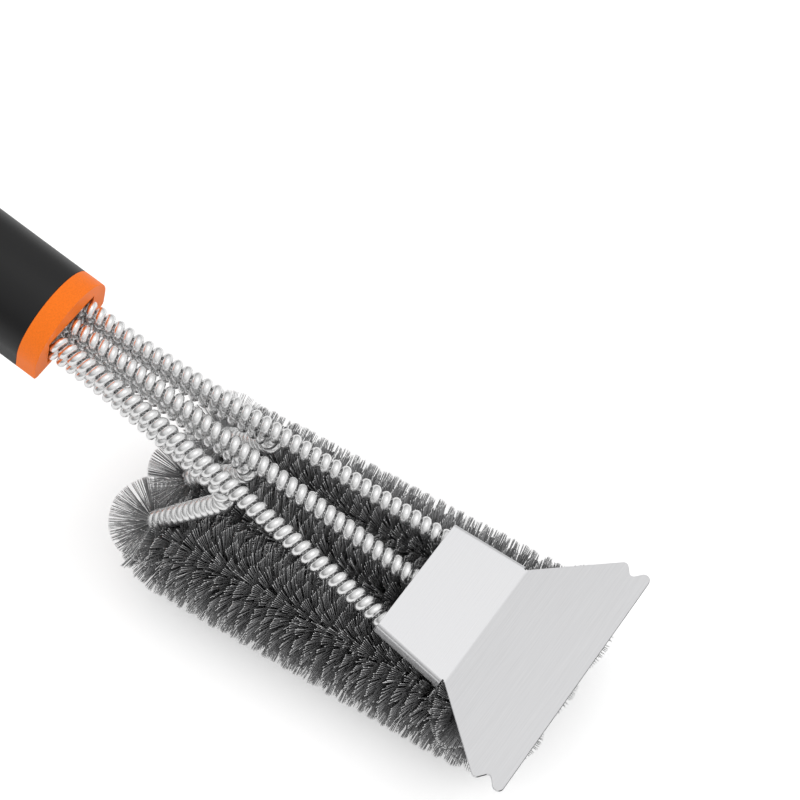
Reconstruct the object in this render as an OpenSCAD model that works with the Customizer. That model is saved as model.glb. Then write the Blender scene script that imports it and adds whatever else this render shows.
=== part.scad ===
// Grill cleaning brush: three wire brushes side by side, each on a stem of two
// wires twisted together, a folded scraper around the stems and a plastic handle.
// X runs from the handle to the scraper, Z is up, and the bristles stand on Z = 0.
// "Left" is the +Y side. The origin is under the middle of the whole brush.

/* [Brushes] */
// Radius of a round brush, from its core to the bristle tips
bristle_r = 19.5; // [17:0.5:26]
// Radius of the shorter bristles around the rear bend
rear_bristle_r = 16.5; // [14:0.5:22]
// Distance between the cores of two neighbouring brushes
core_gap = 21; // [18:0.5:28]
// Length of the straight stretch of a core
core_len = 129; // [90:1:180]
// Bend radius at both ends of a core, on the stem's centre line
bend_r = 7; // [6:0.5:10]
// Distance from one row of tufts to the next along a core
tuft_pitch = 4.6; // [3:0.1:8]
// Depth of the groove between two rows of tufts
tuft_depth = 1.6; // [0.8:0.1:3]
// Gap between the bristles of two neighbouring brushes
bristle_gap = 0.3; // [0.2:0.1:1]
// Gap between the bristles and the metal that trims them
trim_gap = 0.4; // [0.3:0.1:1.5]

/* [Twisted stems] */
// Thickness of one wire
wire_d = 3.0; // [2.4:0.1:3.2]
// Radius of the helix that the middle of each wire follows
helix_r = 1.9; // [1.7:0.05:2.2]
// Length of one full turn of twist in the shafts and the return runs
shaft_pitch = 8.4; // [8:0.1:14]
// Length of one full turn of twist in the risers
hook_pitch = 7.1; // [7:0.1:14]
// Length of one full turn of twist around the tight bends, where bending opens it
bend_pitch = 14; // [12:0.5:20]
// Slope of the shafts above the level brushes, in degrees
shaft_tilt = 19; // [12:1:26]
// Slope of the risers behind the brushes, in degrees
riser_slope = 38; // [30:1:55]
// Bend radius where a riser turns back towards the handle
hairpin_r = 5; // [4.5:0.5:8]
// Distance from a shaft down to the return run below it
return_drop = 7.2; // [7:0.1:10]
// Distance between neighbouring shafts where they enter the handle
collar_gap = 8.5; // [8:0.1:12]
// Length of a shaft from the front bend to the handle's collar
shaft_len = 186; // [160:1:230]

/* [Scraper] */
// Thickness of the sheet
sheet_t = 1.2; // [0.8:0.1:1.6]
// Gap between the stems and the sheet above and below them
sleeve_gap = 0.3; // [0.2:0.1:0.6]
// Gap between the outer stems and the sides of the sleeve, at its rear
side_gap = 0.5; // [0.3:0.1:1]
// Angle at which each side of the sleeve spreads towards the front, in degrees
sleeve_flare = 5.7; // [4:0.1:7]
// Radius of the bend along each upper edge of the sleeve
edge_bend_r = 1.5; // [1.3:0.1:3]
// Length of the sleeve around the shafts
sleeve_len = 29; // [20:1:45]
// Distance from the front bend back to the fold between sleeve and blade
fold_back = 10; // [7:0.5:16]
// Width of the seam where the sleeve's two flaps meet
seam_w = 1.2; // [0.6:0.1:3]
// Length of the relief cut between the sleeve's bent sides and the fold
relief_len = 1; // [0.8:0.1:4]
// Length of the full-width strip behind the fold
fold_strip = 0.5; // [0.3:0.1:0.7]
// Angle by which the blade rises from the sleeve, in degrees
blade_rise = 11.2; // [6:0.2:15]
// Length of the blade from the fold to the front edge
blade_len = 36.5; // [33:0.5:50]
// Width of the blade across its front corners
blade_w = 94.2; // [86:0.2:110]
// Radius of the rounded front corners of the blade
corner_r = 2; // [1.5:0.1:2.2]
// Radius of the rounded lobe behind each notch
lobe_r = 1.6; // [1.2:0.1:1.8]
// Distance from the front edge back to the middle of a lobe
lobe_back = 10.3; // [10:0.1:14]
// Radius of the notch in each side of the blade
notch_r = 1.35; // [0.8:0.05:1.5]
// Distance from the front edge back to the middle of a notch
notch_back = 6.3; // [6:0.1:6.5]
// Depth of a notch below the side of the blade
notch_depth = 3.2; // [2.5:0.1:3.4]

/* [Handle] */
// Length of the grip behind the collar
grip_len = 232.4; // [150:0.2:320]
// Width of the grip and the collar
grip_w = 38.8; // [32:0.2:46]
// Height of the grip and the collar
grip_h = 29.3; // [26:0.1:36]
// Height of the flat underside below the shafts
grip_drop = 14; // [13:0.1:18]
// Radius of the two lower edges
grip_edge_r = 2.5; // [1:0.1:5]
// Share by which the grip is wider at its middle than at the collar
grip_swell = 0.03; // [0:0.01:0.12]
// Share of the front height that is left near the end of the grip
grip_taper = 0.84; // [0.7:0.01:1]
// Length of the rounded end of the grip
end_round = 17; // [12:1:26]
// Radius of the hanging hole
hang_r = 4.5; // [3:0.1:6]
// Distance from the end of the grip to the middle of the hanging hole
hang_back = 19; // [15:0.5:34]
// Length of the collar
collar_len = 7.6; // [5:0.2:14]
// Width of the window in the collar
window_w = 24.4; // [22.6:0.1:30]
// Height of the window above the shafts
window_up = 3.9; // [3.9:0.1:8]
// Height of the window below the shafts
window_down = 11.2; // [11.2:0.1:12.4]

/* [Stem socket] */
// Length of the socket that holds the stems inside the grip
socket_len = 18; // [12:1:30]
// Depth of the socket's face behind the front of the collar
socket_recess = 5; // [2:0.5:7]
// Depth to which the stems go into the socket
stem_depth = 13; // [8:1:16]
// Gap around the socket, and around the stems inside it
socket_gap = 0.2; // [0.1:0.05:0.4]

/* [Hidden] */
$fn = 64;
far = 300;

steel = "lightsteelblue";
sheet_steel = "silver";
orange = "darkorange";

// Stems: side of the brush and hand of the twist
left = [1, 1];
middle = [0, 1];
right = [-1, -1];

stem_r = helix_r + wire_d / 2;
// Reach of a strand's slanted end past the end of its centre line
end_reach = wire_d / 2 * sin(atan(2 * PI * helix_r / hook_pitch));
channel_r = stem_r + trim_gap;
sleeve_h = stem_r + sleeve_gap + sheet_t;
core_z = bristle_r;
// Angles through which the bristles follow the bends before the blade and the riser trim them
front_fan = 160;
rear_fan = 140;
fan_trim = 60;
// Gap between the rows of tufts and the bristles around each bend
bend_break = 0.3;

// Front bend: its middle, and the point where it runs into the shaft
front_mid = [0, core_z + bend_r];
shaft_dir = [-cos(shaft_tilt), sin(shaft_tilt)];
shaft_up = [sin(shaft_tilt), cos(shaft_tilt)];
shaft_start = front_mid + bend_r * shaft_up;

// A point in the XZ plane, u back along the shafts and w above them
function beside_shaft(u, w) = shaft_start + u * shaft_dir + w * shaft_up;
// Distance of an outer shaft from the middle one
function fan_y(u) = core_gap + (collar_gap - core_gap) * u / shaft_len;
fan_angle = atan((core_gap - collar_gap) / shaft_len);

// Hook: rear bend, riser and hairpin, up to the return run
rear_mid = [-core_len, core_z + bend_r];
bend_turn = 180 - riser_slope;
riser_dir = [cos(riser_slope), sin(riser_slope)];
riser_start = rear_mid + bend_r * [-sin(riser_slope), cos(riser_slope)];
hairpin_turn = 180 - shaft_tilt - riser_slope;
hairpin_cut = hairpin_r * tan(hairpin_turn / 2);
riser_rise = -return_drop - (riser_start - shaft_start) * shaft_up;
riser_len = riser_rise / sin(riser_slope + shaft_tilt) - hairpin_cut;
hairpin_start = riser_start + riser_len * riser_dir;
hairpin_mid = hairpin_start + hairpin_r * [-sin(riser_slope), cos(riser_slope)];
return_start = hairpin_mid + hairpin_r * [sin(shaft_tilt), cos(shaft_tilt)];
return_u = (return_start - shaft_start) * shaft_dir;

bend_run = bend_r * bend_turn * PI / 180;
hairpin_run = hairpin_r * hairpin_turn * PI / 180;
hook_run = bend_run + riser_len + hairpin_run;

// Ends of the twisted lengths
shaft_front_u = fold_back + sleeve_len - 3;
socket_u = shaft_len + socket_recess;
stem_end_u = socket_u + stem_depth;
wire_break = 0.2;

// Stations of the twisted lengths at a run of s: [x, z, heading, y of an outer stem, twist, pitch]
function shaft_at(s) = let (p = beside_shaft(shaft_front_u + s, 0))
    [p.x, p.y, 180 - shaft_tilt, fan_y(shaft_front_u + s), 360 * s / shaft_pitch, shaft_pitch];
function return_at(s) = let (p = return_start + s * shaft_dir)
    [p.x, p.y, 180 - shaft_tilt, fan_y(return_u + s),
        hook_twist(hook_run) + 360 * s / shaft_pitch, shaft_pitch];
function hook_at(s) = let (
    after_bend = s - bend_run,
    after_riser = after_bend - riser_len,
    h = after_bend < 0 ? 180 - deg(s / bend_r) : riser_slope + max(0, deg(after_riser / hairpin_r)),
    p = after_bend < 0 ? rear_mid + bend_r * [-sin(h), cos(h)]
        : after_riser < 0 ? riser_start + after_bend * riser_dir
        : hairpin_mid + hairpin_r * [sin(h), -cos(h)],
    lean = max(0, after_bend) / (hook_run - bend_run),
    y = core_gap + (fan_y(return_u) - core_gap) * lean
) [p.x, p.y, h, y, hook_twist(s), after_bend > 0 && after_riser < 0 ? hook_pitch : bend_pitch];
function hook_twist(s) = let (on_riser = max(0, min(s - bend_run, riser_len)))
    360 * (on_riser / hook_pitch + (s - on_riser) / bend_pitch);
function deg(radians) = radians * 180 / PI;

// Twisted wire: one strand swept along its stations
wire_sides = 5;
rings_per_turn = 5;

function unit(v) = v / norm(v);
// One ring around a strand; hand is 1 for a right-handed twist, and roll keeps the skin untwisted
function strand_ring(c, side, hand, phase) =
    let (
        a = phase + c[4],
        ahead = [cos(c[2]), 0, sin(c[2])],
        up = [-sin(c[2]), 0, cos(c[2])],
        across = [0, -hand, 0],
        out = cos(a) * up + sin(a) * across,
        along = unit(ahead + 2 * PI * helix_r / c[5] * (cos(a) * across - sin(a) * up)),
        beside = cross(along, out),
        roll = -hand * c[4] * cos(atan(2 * PI * helix_r / c[5])),
        middle_point = [c[0], side * c[3], c[1]] + helix_r * out
    )
    [for (k = [0 : wire_sides - 1]) let (turn = roll + 360 * k / wire_sides)
        middle_point + wire_d / 2 * (cos(turn) * out + sin(turn) * beside)];

// A closed skin over a list of rings with the same number of points
module skin(rings) {
    n = len(rings[0]);
    m = len(rings);
    polyhedron(
        points = [for (ring = rings) each ring],
        faces = [
            [for (k = [0 : n - 1]) k],
            [for (k = [n - 1 : -1 : 0]) (m - 1) * n + k],
            for (i = [0 : m - 2]) for (k = [0 : n - 1]) let (a = i * n + k, b = i * n + (k + 1) % n)
                each [[a, a + n, b + n], [a, b + n, b]]
        ]
    );
}

// Front and back of the blade, in the plane of the sheet
blade_slope = shaft_tilt - blade_rise;
blade_dir = [cos(blade_slope), -sin(blade_slope)];
blade_up = [sin(blade_slope), cos(blade_slope)];
fold_top = beside_shaft(fold_back, sleeve_h);
fold_half = fan_y(fold_back) + sleeve_h;
sleeve_rear = fold_back + sleeve_len;
sleeve_rear_half = fan_y(sleeve_rear) + stem_r + side_gap + sheet_t;
strip_half = sleeve_rear_half + (sleeve_len - relief_len) * tan(sleeve_flare) - sleeve_h;
// Middles of the three rounded shapes along a side of the blade
lobe_mid = [blade_len - lobe_back, blade_w / 2 - lobe_r];
notch_mid = [blade_len - notch_back, blade_w / 2 - notch_depth + notch_r];
corner_mid = [blade_len - corner_r, blade_w / 2 - corner_r];
// Directions of the straight lines between them, each touching the round on either side
flare_angle = line_angle([0, fold_half], lobe_mid, lobe_r);
dip_angle = line_angle(lobe_mid, notch_mid, -lobe_r - notch_r);
rise_angle = line_angle(notch_mid, corner_mid, notch_r + corner_r);
function line_angle(a, b, offset) = atan2(b.y - a.y, b.x - a.x) + asin(offset / norm(b - a));

// Grip: a section with a round top, straight sides and a flat base, skinned along its length
dome_r = grip_w / 2;
dome_z = grip_h - grip_drop - dome_r;
grip_mid_z = grip_h / 2 - grip_drop;
grip_stations = 18;
end_stations = 8;

// Outline of the grip's section, over the top and back along the base
grip_outline = let (r = grip_edge_r, y = dome_r - grip_edge_r, z = grip_edge_r - grip_drop) [
    for (a = [180 : -9 : 0]) [dome_r * cos(a), dome_z + dome_r * sin(a)],
    for (a = [0 : -30 : -90]) [r * cos(a) + y, z + r * sin(a)],
    for (a = [-90 : -30 : -180]) [r * cos(a) - y, z + r * sin(a)]
];
function smooth(t) = t * t * (3 - 2 * t);
function grip_wide(t) = 1 + grip_swell * pow(sin(180 * min(1, t)), 2);
function grip_high(t) = 1 - (1 - grip_taper) * smooth(max(0, min(1, t)));
function grip_ring(d, shrink) = let (t = d / (grip_len - end_round), tall = shrink * grip_high(t)) [
    for (p = grip_outline)
        [-shaft_len - collar_len - d, shrink * grip_wide(t) * p.x, grip_mid_z + tall * (p.y - grip_mid_z)]
];
grip_rings = [
    for (i = [0 : grip_stations - 1]) grip_ring(i / grip_stations * (grip_len - end_round), 1),
    for (i = [0 : end_stations]) let (a = 84 * i / end_stations)
        grip_ring(grip_len - end_round * (1 - sin(a) / sin(84)), pow(cos(a), 0.6))
];

// Middle of the whole brush along X
front_x = (fold_top + blade_len * blade_dir).x;
rear_x = min([
    for (ring = grip_rings) for (p = ring) shaft_start.x + p.x * cos(shaft_tilt) + p.z * sin(shaft_tilt)
]);
middle_x = (front_x + rear_x) / 2;

// Places a child in the frame of the shafts: -X back along them, Z above them
module on_shafts() {
    translate([shaft_start.x - middle_x, 0, shaft_start.y]) rotate([0, shaft_tilt, 0]) children();
}

module on_floor() {
    translate([-middle_x, 0, 0]) children();
}

// A section in Y and Z, extruded towards +X from x
module along_x(x, length) {
    translate([x, 0, 0]) rotate([90, 0, 90]) linear_extrude(length) children();
}

// A profile in X and Z, extruded over a width centred on Y = 0
module across_y(width) {
    rotate([90, 0, 0]) linear_extrude(width, center = true) children();
}

// A section in Z and Y, turned about an axis along Y through p: 0 points along X, 90 points up
module around_y(p, from, sweep) {
    translate([p.x, 0, p.y]) rotate([-90, 0, 0]) rotate([0, 0, -from - sweep])
        rotate_extrude(angle = sweep) children();
}

module grip_section() {
    intersection() {
        translate([0, dome_z]) circle(dome_r);
        translate([-dome_r, dome_z]) square(grip_w);
    }
    translate([-dome_r, grip_edge_r - grip_drop]) square([grip_w, dome_z + grip_drop - grip_edge_r]);
    translate([grip_edge_r - dome_r, -grip_drop]) square([grip_w - 2 * grip_edge_r, dome_z + grip_drop]);
    for (side = [-1, 1]) {
        translate([side * (dome_r - grip_edge_r), grip_edge_r - grip_drop]) circle(grip_edge_r);
    }
}

module window_section(shrink = 0) {
    translate([-window_w / 2 + shrink, -window_down + shrink])
        square([window_w - 2 * shrink, window_up + window_down - 2 * shrink]);
}

module handle() {
    color("dimgray") on_shafts() difference() {
        skin(grip_rings);
        along_x(-socket_u - socket_len, far) window_section();
        translate([hang_back - shaft_len - collar_len - grip_len, 0, -far / 2]) cylinder(far, r = hang_r);
    }
}

module collar() {
    color(orange) on_shafts() along_x(-shaft_len - collar_len, collar_len) difference() {
        grip_section();
        window_section();
    }
}

module stem_socket() {
    color("black") on_shafts() difference() {
        along_x(-socket_u - socket_len, socket_len) window_section(socket_gap);
        for (side = [-1, 0, 1]) stem_hole(side);
    }
}

// Hole for a shaft and the return run below it, along the fanned shafts
module stem_hole(side) {
    hole_r = stem_r + socket_gap;
    translate([-stem_end_u - end_reach - socket_gap, side * fan_y(stem_end_u), 0])
        rotate([0, 0, side * fan_angle])
            along_x(0, 2 * stem_depth) {
                circle(hole_r);
                translate([0, -return_drop]) circle(hole_r);
                translate([-hole_r, -return_drop]) square([2 * hole_r, return_drop]);
            }
}

module scraper() {
    color(sheet_steel) on_shafts() {
        folded_sheet();
        sleeve();
    }
}

// Blade and the strip behind its fold, one sheet
module folded_sheet() {
    inner_fold = sheet_t * tan(blade_rise / 2);
    intersection() {
        translate([-fold_back, 0, sleeve_h]) across_y(far) polygon([
            [-relief_len, -sheet_t], [-relief_len, 0], [0, 0],
            blade_len * [cos(blade_rise), sin(blade_rise)],
            blade_len * [cos(blade_rise), sin(blade_rise)] + sheet_t * [sin(blade_rise), -cos(blade_rise)],
            [inner_fold, -sheet_t]
        ]);
        union() {
            translate([-fold_back, 0, 0]) linear_extrude(far, center = true) strip_outline();
            translate([-fold_back, 0, sleeve_h]) rotate([0, -blade_rise, 0])
                linear_extrude(far, center = true) blade_outline();
        }
    }
}

// Plan of the strip between the sleeve and the fold, which widens to the blade's width just behind the fold
module strip_outline() {
    for (side = [-1, 1]) {
        polygon([
            [-relief_len, 0], [-relief_len, side * strip_half], [-fold_strip, side * strip_half],
            [-fold_strip, side * fold_half], [sheet_t, side * fold_half], [sheet_t, 0]
        ]);
    }
}

// Tapered tube around the three shafts, open at both ends and along a seam below
module sleeve() {
    difference() {
        intersection() {
            sleeve_side(-1, sleeve_h, edge_bend_r);
            sleeve_side(1, sleeve_h, edge_bend_r);
            translate([-sleeve_rear, -far / 2, -far / 2]) cube([sleeve_len - relief_len, far, far]);
        }
        intersection() {
            sleeve_side(-1, sleeve_h - sheet_t, edge_bend_r - sheet_t);
            sleeve_side(1, sleeve_h - sheet_t, edge_bend_r - sheet_t);
        }
        translate([-sleeve_rear - sheet_t, -seam_w / 2, -far]) cube([sleeve_len + sheet_t, seam_w, far]);
    }
}

// Space inside one side of the sleeve, longer and wider than the sleeve itself
module sleeve_side(side, h, bend) {
    translate([-sleeve_rear, side * (sleeve_rear_half - sleeve_h), 0]) rotate([0, 0, side * sleeve_flare])
        along_x(-2 * sleeve_h, sleeve_len + 4 * sleeve_h) mirror([side < 0 ? 1 : 0, 0])
            side_section(h, bend, far);
}

// Section with a small bend above and a round of radius h below, reaching inwards past the round's middle
module side_section(h, bend, reach) {
    polygon([
        [-reach, h],
        each arc([h - bend, h - bend], bend, 90, 0),
        each arc([0, 0], h, 0, -90),
        [-reach, -h]
    ]);
}

// Outline of the blade in its own plane, from the fold to the front edge
module blade_outline() {
    half = concat(
        [[0, fold_half]],
        arc(lobe_mid, lobe_r, 90 + flare_angle, 90 + dip_angle),
        arc(notch_mid, notch_r, dip_angle - 90, rise_angle - 90),
        arc(corner_mid, corner_r, 90 + rise_angle, 0)
    );
    polygon([each half, for (i = [len(half) - 1 : -1 : 0]) [half[i].x, -half[i].y]]);
}

// Points of an arc about a middle, from one angle to another in steps of at most 12 degrees
function arc(mid, r, from, to) = let (steps = ceil(abs(to - from) / 12))
    [for (i = [0 : steps]) let (a = from + (to - from) * i / steps) mid + r * [cos(a), sin(a)]];

// Space above the bristles: sleeve, shafts and blade, with a gap below them
module trim_space() {
    under_w = -sleeve_h - trim_gap;
    under_blade = fold_top - (sheet_t + trim_gap) * blade_up;
    fan_end = [cos(fan_trim), sin(fan_trim)];
    fan_top = front_mid + ((under_blade - front_mid) * blade_up) / (fan_end * blade_up) * fan_end;
    across_y(far) polygon([
        beside_shaft(core_len, under_w), beside_shaft(0, under_w), fan_top,
        under_blade + 2 * blade_len * blade_dir, [far, far], [-far, far]
    ]);
}

// Channel for the riser, which leaves the rear bend through the bristles
module riser_channel(side) {
    lean = atan((core_gap - fan_y(return_u)) / (hook_run - bend_run));
    translate([riser_start.x, 0, riser_start.y])
        rotate([0, 90 - riser_slope, 0]) rotate([side * lean, 0, 0]) cylinder(riser_len, r = channel_r);
}

// Rows of tufts as one ridged mass around the straight core
module tuft_rows() {
    rows = floor(core_len / tuft_pitch);
    pitch = (core_len - 2 * bend_break) / rows;
    groove_r = bristle_r - tuft_depth;
    translate([bend_break - core_len, 0, core_z]) rotate([0, 90, 0]) rotate_extrude() polygon([
        [channel_r, 0], [groove_r, 0],
        for (i = [0 : rows - 1]) each [[bristle_r, (i + 0.5) * pitch], [groove_r, (i + 1) * pitch]],
        [channel_r, rows * pitch]
    ]);
}

// Section of the bristles around a bend: out from the middle of the bend, and across the brush
module bend_section(r, near, wide) {
    intersection() {
        translate([bend_r, 0]) difference() {
            circle(r);
            circle(channel_r);
        }
        translate([0, near]) square([bend_r + r, wide]);
    }
}

module bristles(stem) {
    side = stem[0];
    half = core_gap / 2 - bristle_gap / 2;
    near = side < 0 ? -2 * bristle_r : -half;
    wide = side == 0 ? 2 * half : half + 2 * bristle_r;
    color("slategray") on_floor() translate([0, side * core_gap, 0]) {
        difference() {
            intersection() {
                tuft_rows();
                translate([-far, near, -far]) cube([2 * far, wide, 2 * far]);
            }
            riser_channel(side);
            trim_space();
        }
        difference() {
            around_y(front_mid, -90, front_fan) bend_section(bristle_r, near, wide);
            trim_space();
        }
        around_y(rear_mid, 270 - rear_fan, rear_fan) bend_section(rear_bristle_r, near, wide);
    }
}

// Straight core, front bend and the start of the shaft, where bristles and sleeve hide the twist
core_sides = 12;
function core_ring(x, y, z, h) = [for (k = [0 : core_sides - 1]) let (a = 360 * k / core_sides)
    [x, y, z] + stem_r * (cos(a) * [-sin(h), 0, cos(h)] - sin(a) * [0, 1, 0])];

module core(stem) {
    rear_x = end_reach + wire_break - core_len;
    front_turn = 180 - shaft_tilt;
    front_steps = 8;
    shaft_end = shaft_front_u - end_reach - wire_break;
    color(steel) on_floor() skin([
        core_ring(rear_x, stem[0] * core_gap, core_z, 0),
        for (i = [0 : front_steps])
            let (h = front_turn * i / front_steps, p = front_mid + bend_r * [sin(h), -cos(h)])
                core_ring(p.x, stem[0] * core_gap, p.y, h),
        let (p = beside_shaft(shaft_end, 0)) core_ring(p.x, stem[0] * fan_y(shaft_end), p.y, front_turn)
    ]);
}

// One strand through a list of stations
module strand(stem, phase, stations) {
    color(steel) on_floor() skin([for (c = stations) strand_ring(c, stem[0], stem[1], phase)]);
}

module shaft_wire(stem, phase) {
    steps = ceil((stem_end_u - shaft_front_u) / shaft_pitch * rings_per_turn);
    strand(stem, phase, [for (i = [0 : steps]) shaft_at((stem_end_u - shaft_front_u) * i / steps)]);
}

module hook_wire(stem, phase) {
    steps = ceil(hook_run / hook_pitch * rings_per_turn);
    strand(stem, phase, [for (i = [0 : steps]) hook_at((hook_run - wire_break) * i / steps)]);
}

module return_wire(stem, phase) {
    steps = ceil((stem_end_u - return_u) / shaft_pitch * rings_per_turn);
    strand(stem, phase, [for (i = [0 : steps]) return_at((stem_end_u - return_u) * i / steps)]);
}

module brush(name, stem) {
    bristles(stem);
    core(stem);
    shaft_wire(stem, 0);
    shaft_wire(stem, 180);
    hook_wire(stem, 0);
    hook_wire(stem, 180);
    return_wire(stem, 0);
    return_wire(stem, 180);
}

handle();
collar();
stem_socket();
scraper();
brush("left", left);
brush("middle", middle);
brush("right", right);
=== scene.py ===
import math
import bpy
import numpy as np
from mathutils import Matrix, Vector


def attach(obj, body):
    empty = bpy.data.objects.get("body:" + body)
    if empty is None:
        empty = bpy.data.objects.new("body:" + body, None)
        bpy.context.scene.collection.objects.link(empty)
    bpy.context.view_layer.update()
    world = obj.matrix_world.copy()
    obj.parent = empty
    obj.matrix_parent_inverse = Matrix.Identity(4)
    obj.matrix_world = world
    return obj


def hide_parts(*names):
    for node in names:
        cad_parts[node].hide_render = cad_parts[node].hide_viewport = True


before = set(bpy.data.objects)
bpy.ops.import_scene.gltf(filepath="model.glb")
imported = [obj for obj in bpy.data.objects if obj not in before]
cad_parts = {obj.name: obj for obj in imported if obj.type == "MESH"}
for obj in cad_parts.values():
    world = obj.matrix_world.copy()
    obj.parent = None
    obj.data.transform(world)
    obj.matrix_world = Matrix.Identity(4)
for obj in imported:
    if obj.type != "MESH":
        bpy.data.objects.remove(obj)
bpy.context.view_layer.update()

mm = 0.001

# Everything below is laid out in millimetres around the bent wires, as the frame is,
# and turned into metres where a mesh is made. X runs forward, Z up.
layout = {
    "coreGap": 21.0,        # between neighbouring brushes
    "coreHeight": 19.5,
    "coreFront": 185.51,    # X of the front bend's middle
    "coreRear": 56.51,      # X of the rear bend's middle
    "bend": 7.0,
    "rearBend": 5.8,
    "tilt": 19.0,           # shafts above the level brushes, degrees
    "riserSlope": 42.0,
    "hairpin": 5.0,
    "returnDrop": 6.6,
    "collarGap": 8.5,       # between neighbouring shafts at the collar
    "closing": 0.0793,      # slope of an outer shaft towards the middle one
    "level": 163.6,         # from here back the shafts run beside each other
    "easing": 0.6,          # how gently the one becomes the other
    "shaftLen": 186.0,
    "stemEnd": 204.0,       # inside the socket
}
tilt = math.radians(layout["tilt"])
shaftBack = Vector((-math.cos(tilt), 0, math.sin(tilt)))
shaftUp = Vector((math.sin(tilt), 0, math.cos(tilt)))
frontMiddle = Vector((layout["coreFront"], 0, layout["coreHeight"] + layout["bend"]))
rearMiddle = Vector((layout["coreRear"], 0, layout["coreHeight"] + layout["rearBend"]))
shaftStart = frontMiddle + layout["bend"] * shaftUp


def onShaft(back, up=0.0):
    # a point back along the middle shaft and above it
    return shaftStart + back * shaftBack + up * shaftUp


def upFrom(heading):
    # the direction square to a heading, in the XZ plane
    return Vector((-math.sin(heading), 0, math.cos(heading)))


def spread(back):
    # how far an outer shaft stands from the middle one
    return layout["coreGap"] + (layout["collarGap"] - layout["coreGap"]) * back / layout["shaftLen"]


def shaftSide(back):
    # the outer shafts close in behind the sleeve, then run beside the middle one into the collar
    if back < sheet["foldBack"] + sheet["sleeveLen"]:
        return spread(back)
    left = layout["closing"] * (layout["level"] - back)
    return layout["collarGap"] + (left + math.sqrt(left * left + layout["easing"])) / 2


def deselectAll():
    if bpy.context.mode != "OBJECT":
        bpy.ops.object.mode_set(mode="OBJECT")
    bpy.ops.object.select_all(action="DESELECT")


def makeActive(piece):
    deselectAll()
    piece.select_set(True)
    bpy.context.view_layer.objects.active = piece


def finishModifiers(piece):
    makeActive(piece)
    for modifier in list(piece.modifiers):
        bpy.ops.object.modifier_apply(modifier=modifier.name)


def smoothByAngle(piece, degrees):
    # rounded edges shade smoothly and the flat faces beside them stay flat
    makeActive(piece)
    bpy.ops.object.shade_smooth_by_angle(angle=math.radians(degrees))
    flat = piece.modifiers.new("flatFaces", "WEIGHTED_NORMAL")
    flat.weight = 100
    flat.keep_sharp = True
    finishModifiers(piece)


# Camera, backdrop and lights, in metres
studio = {
    "cameraAt": (0.43009, -0.31056, 0.73513),
    "cameraTurn": (35.214, 4.841, 34.575),      # degrees
    "lens": 107.09,
    "floorSize": 6,
    "floorColour": (0.95, 0.95, 0.95),
    "floorMirrored": (0.92, 0.92, 0.92),        # what polished metal sees of it
    "floorGlow": 0.30,                          # keeps it white to the camera
    "ambient": 0.82,
    "brightSide": (0.40, 0.20, 0.89),           # side of the room that metal sees bright
    "roomStrength": 1.49,
    "roomLevels": ((0.0, 0.17), (0.45, 0.45), (0.88, 0.57), (1.0, 1.0)),
    "lampTarget": (0.05, 0, 0.03),
}
softboxes = {
    "keySoftbox": {"at": (0.85, 0.4, 0.8), "size": (0.8, 0.6), "energy": 2.5},
    "fillSoftbox": {"at": (0.9, -0.4, 0.8), "size": (0.7, 0.7), "energy": 1.5},
}


def setRamp(ramp, stops):
    # (position, colour) pairs, the first and last of them on the ramp's own two stops
    elements = ramp.color_ramp.elements
    for element, (position, colour) in zip((elements[0], elements[-1]), (stops[0], stops[-1])):
        element.position = position
        element.color = (*colour, 1)
    for position, colour in stops[1:-1]:
        elements.new(position).color = (*colour, 1)


def setUpCamera():
    turn = [math.radians(a) for a in studio["cameraTurn"]]
    bpy.ops.object.camera_add(location=studio["cameraAt"], rotation=turn)
    camera = bpy.context.object
    camera.name = "studioCamera"
    camera.data.lens = studio["lens"]
    camera.data.sensor_width = 36
    camera.data.clip_start = 0.01
    bpy.context.scene.camera = camera


def setUpFloor():
    deselectAll()
    bpy.ops.mesh.primitive_plane_add(size=studio["floorSize"], location=(0, 0, 0))
    floor = bpy.context.object
    floor.name = "studioFloor"
    material = bpy.data.materials.new("floorPaper")
    material.use_nodes = True
    nodes, links = material.node_tree.nodes, material.node_tree.links
    shader = nodes["Principled BSDF"]
    paper = nodes.new("ShaderNodeMix")
    paper.data_type = "RGBA"
    paper.inputs["A"].default_value = (*studio["floorColour"], 1)
    paper.inputs["B"].default_value = (*studio["floorMirrored"], 1)
    links.new(paper.outputs["Result"], shader.inputs["Base Color"])
    shader.inputs["Roughness"].default_value = 0.9
    shader.inputs["Specular IOR Level"].default_value = 0.0
    glow = nodes.new("ShaderNodeEmission")
    glow.inputs["Color"].default_value = (1, 1, 1, 1)
    rays = nodes.new("ShaderNodeLightPath")
    links.new(rays.outputs["Is Glossy Ray"], paper.inputs["Factor"])
    share = nodes.new("ShaderNodeMath")
    share.operation = "MULTIPLY"
    share.inputs[1].default_value = studio["floorGlow"]
    links.new(rays.outputs["Is Camera Ray"], share.inputs[0])
    links.new(share.outputs[0], glow.inputs["Strength"])
    both = nodes.new("ShaderNodeAddShader")
    links.new(shader.outputs["BSDF"], both.inputs[0])
    links.new(glow.outputs["Emission"], both.inputs[1])
    links.new(both.outputs["Shader"], nodes["Material Output"].inputs["Surface"])
    floor.data.materials.append(material)


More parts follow.
